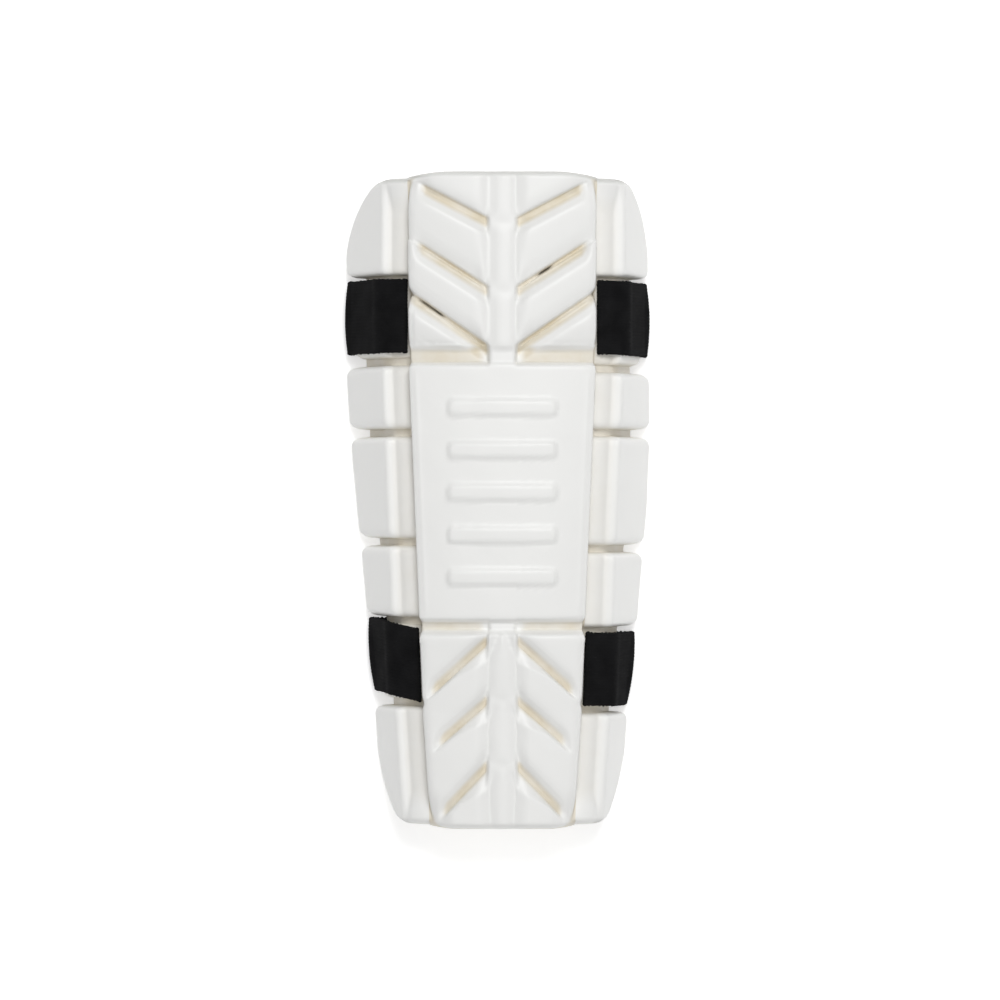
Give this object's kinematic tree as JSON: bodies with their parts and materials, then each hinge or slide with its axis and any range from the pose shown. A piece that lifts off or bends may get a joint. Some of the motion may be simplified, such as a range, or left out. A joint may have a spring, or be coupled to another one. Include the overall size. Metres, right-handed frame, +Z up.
{
  "type": "cricket arm guard",
  "caption": "Moulded foam forearm guard with raised chevron pads, hinged side wings and two elastic wrap straps.",
  "frame": {"origin": "on the surface that the guard lies on, under the middle of its box", "axes": "+Y along the guard towards the elbow end, +X across it, +Z up and away from the arm, out of the front face"},
  "size_m": [0.124, 0.265, 0.0473],
  "materials": {
    "foam": "moulded EVA foam with a white satin skin",
    "elastic": "black ribbed woven elastic",
    "hook_tape": "black hook-and-loop tape"
  },
  "bodies": {
    "root": {"foam_shell": "foam", "strap_upper": "elastic", "strap_lower": "elastic", "hook_tab_upper": "hook_tape", "hook_tab_lower": "hook_tape"}
  },
  "joints": []
}
